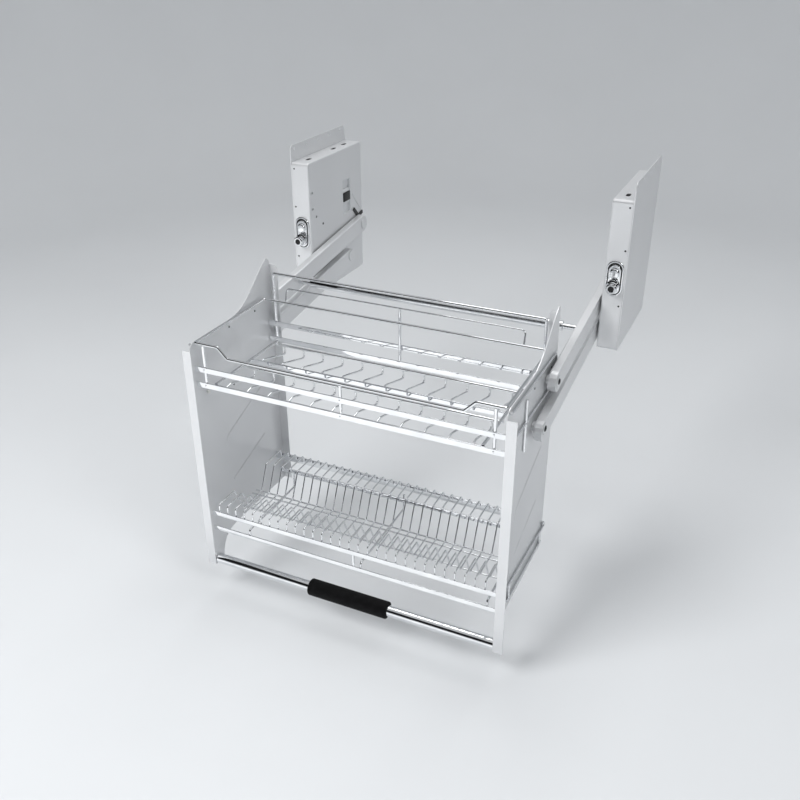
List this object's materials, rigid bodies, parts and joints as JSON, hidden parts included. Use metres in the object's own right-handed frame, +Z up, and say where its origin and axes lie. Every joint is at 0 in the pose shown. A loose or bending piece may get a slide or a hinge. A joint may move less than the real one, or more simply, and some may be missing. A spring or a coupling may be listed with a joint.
{
  "type": "pull down dish rack",
  "caption": "Wall-cabinet dish rack on parallel lift arms, with an upper cup basket, a lower plate rack, sheet side panels and a pull handle.",
  "frame": {"origin": "middle of the cabinet's clear width, at the front bottom edges of the two mechanism housings", "axes": "+X to the right across the cabinet, +Y back into the cabinet, +Z up; lowered pose"},
  "size_m": [0.764, 0.7714, 0.7771],
  "materials": {
    "grey_paint": "silver-grey semi-gloss powder coat",
    "chrome": "bright chrome plate",
    "zinc_steel": "zinc plated steel",
    "black_plastic": "black moulded plastic",
    "grey_plastic": "grey moulded plastic",
    "black_foam": "matt black foam"
  },
  "bodies": {
    "housings": {"wall_plate_left": "grey_paint", "wall_plate_right": "grey_paint", "housing_cover_left": "grey_paint", "housing_cover_right": "grey_paint", "front_plate_left": "chrome", "front_plate_right": "chrome", "slider_tray_left": "grey_plastic", "slider_tray_right": "grey_plastic", "arm_stop_left": "black_plastic", "arm_stop_right": "black_plastic", "pivot_disc_left": "grey_paint", "pivot_disc_right": "grey_paint", "lift_spring_left": "zinc_steel", "lift_spring_right": "zinc_steel", "damper_can_left": "black_plastic", "damper_can_right": "black_plastic"},
    "adjuster_left": {"adjuster_boss_left": "chrome"},
    "adjuster_right": {"adjuster_boss_right": "chrome"},
    "slider_left": {"force_slider_left": "black_plastic"},
    "slider_right": {"force_slider_right": "black_plastic"},
    "lift_arms": {"upper_arm_left": "grey_paint", "upper_arm_right": "grey_paint", "lift_shaft_left": "zinc_steel", "lift_shaft_right": "zinc_steel", "cross_tube": "chrome", "tube_spigot_left": "chrome", "tube_spigot_right": "chrome"},
    "link_left": {"lower_arm_left": "grey_paint", "damper_shaft_left": "zinc_steel"},
    "link_right": {"lower_arm_right": "grey_paint", "damper_shaft_right": "zinc_steel"},
    "carriage": {"side_panel_left": "grey_paint", "side_panel_right": "grey_paint", "upper_pin_left": "zinc_steel", "upper_pin_right": "zinc_steel", "lower_pin_left": "zinc_steel", "lower_pin_right": "zinc_steel", "upper_rail_left": "chrome", "upper_rail_right": "chrome", "middle_rail_left": "chrome", "middle_rail_right": "chrome", "lower_rail_left": "chrome", "lower_rail_right": "chrome", "upper_rim": "chrome", "basket_front_bars": "chrome", "basket_rear_guard": "chrome", "basket_inner_guard": "chrome", "basket_floor_wires": "chrome", "plate_comb": "chrome", "plate_upstands": "chrome", "plate_frame": "chrome", "shelf_bar_front": "chrome", "shelf_bar_rear": "chrome", "rack_front_bars": "chrome", "handle_tube": "chrome", "handle_grip": "black_foam"}
  },
  "joints": [
    {"name": "lift", "type": "hinge", "parent": "housings", "child": "lift_arms", "pos_m": [0, 0.226, 0.12], "axis": [-1, 0, 0], "range_deg": [0, 76], "stiffness_Nm_per_rad": 8, "springref_deg": 76.2},
    {"name": "link_left_swing", "type": "hinge", "parent": "housings", "child": "link_left", "pos_m": [-0.3265, 0.155, 0.059], "axis": [-1, 0, 0], "range_deg": [0, 76]},
    {"name": "link_right_swing", "type": "hinge", "parent": "housings", "child": "link_right", "pos_m": [0.3265, 0.155, 0.059], "axis": [-1, 0, 0], "range_deg": [0, 76]},
    {"name": "carriage_level", "type": "hinge", "parent": "lift_arms", "child": "carriage", "pos_m": [0, -0.28535, 0.05241], "axis": [1, 0, 0], "range_deg": [0, 76]},
    {"name": "adjuster_left_turn", "type": "hinge", "parent": "housings", "child": "adjuster_left", "pos_m": [-0.3595, 0, 0.142], "axis": [0, 1, 0], "range_deg": [-90, 90]},
    {"name": "adjuster_right_turn", "type": "hinge", "parent": "housings", "child": "adjuster_right", "pos_m": [0.3595, 0, 0.142], "axis": [0, 1, 0], "range_deg": [-90, 90]},
    {"name": "slider_left_slide", "type": "slide", "parent": "housings", "child": "slider_left", "axis": [0, 0, 1], "range_m": [-0.02, 0.02]},
    {"name": "slider_right_slide", "type": "slide", "parent": "housings", "child": "slider_right", "axis": [0, 0, 1], "range_m": [-0.02, 0.02]}
  ],
  "couplings": [
    {"joint": "link_left_swing", "follows": "lift", "ratio": 1},
    {"joint": "link_right_swing", "follows": "lift", "ratio": 1},
    {"joint": "carriage_level", "follows": "lift", "ratio": 1}
  ]
}
